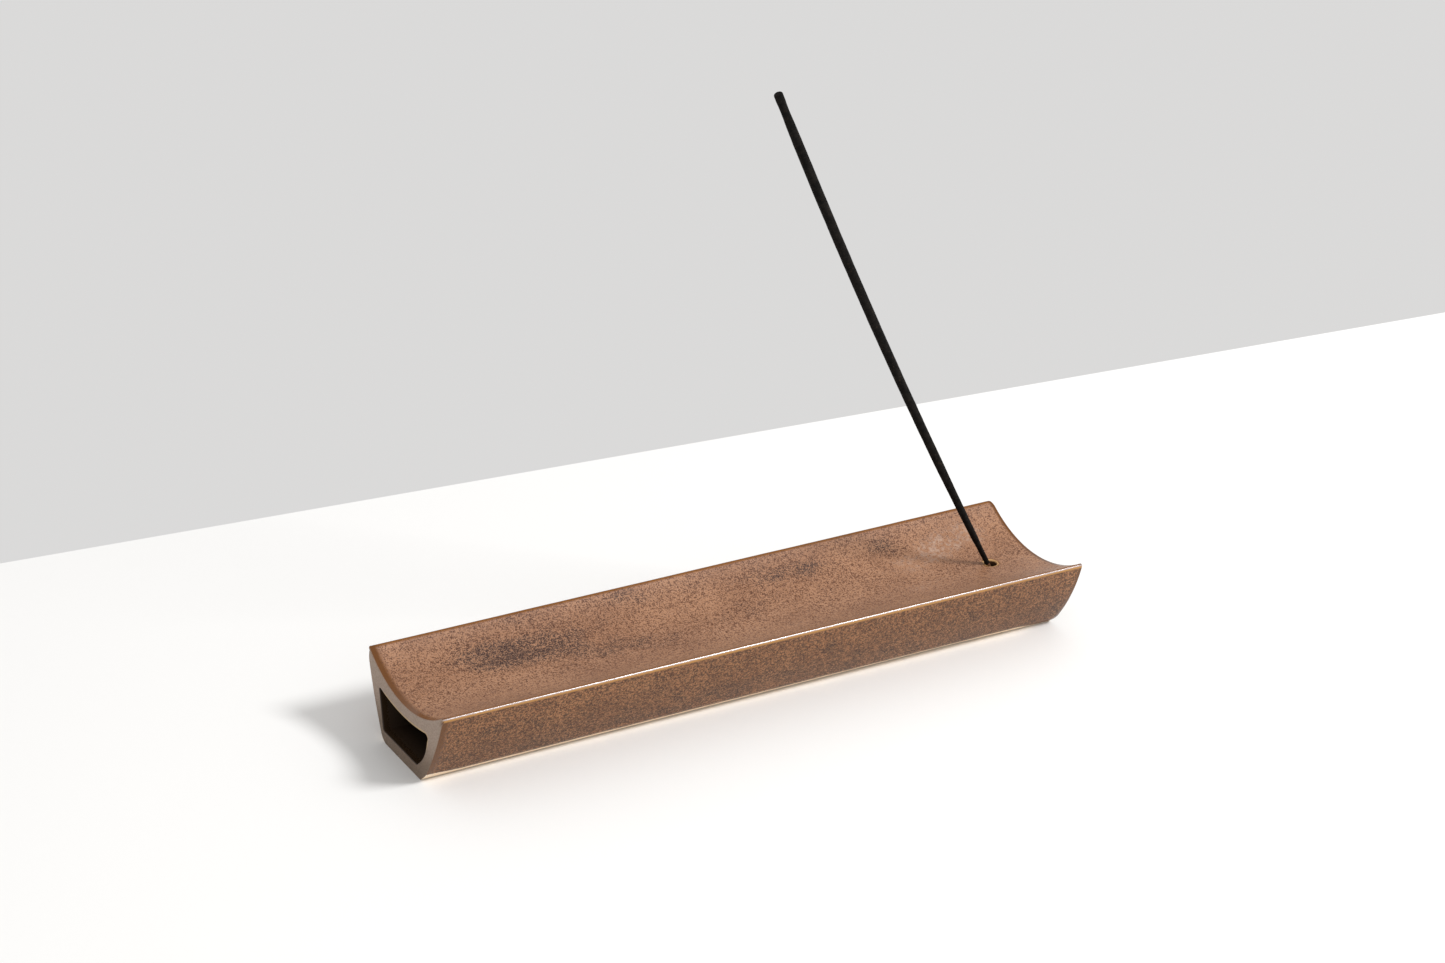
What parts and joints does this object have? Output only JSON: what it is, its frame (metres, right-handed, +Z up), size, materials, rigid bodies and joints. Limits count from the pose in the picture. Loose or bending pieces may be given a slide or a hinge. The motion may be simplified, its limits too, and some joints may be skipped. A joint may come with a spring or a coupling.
{
  "type": "incense burner",
  "caption": "Long low glazed stoneware incense burner: a hollow bar with a concave ash trough on top, holding a leaning black incense stick in a small hole near its end.",
  "frame": {"origin": "centre of the underside, on the surface that the burner stands on", "axes": "+Z up, +X along the bar towards the end with the stick hole, +Y across the bar towards its back"},
  "size_m": [0.23, 0.051, 0.1943],
  "materials": {
    "brown_glaze": "satin brown glaze with fine dark speckle",
    "black_paste": "matte black pressed wood and charcoal powder",
    "bamboo": "bare split bamboo"
  },
  "bodies": {
    "burner": {"burner_body": "brown_glaze"},
    "stick": {"incense_coat": "black_paste", "bamboo_core": "bamboo"}
  },
  "joints": [
    {"name": "stick_lift_out", "type": "slide", "parent": "burner", "child": "stick", "axis": [-0.5092, 0, 0.8607], "range_m": [0, 0.03]}
  ]
}
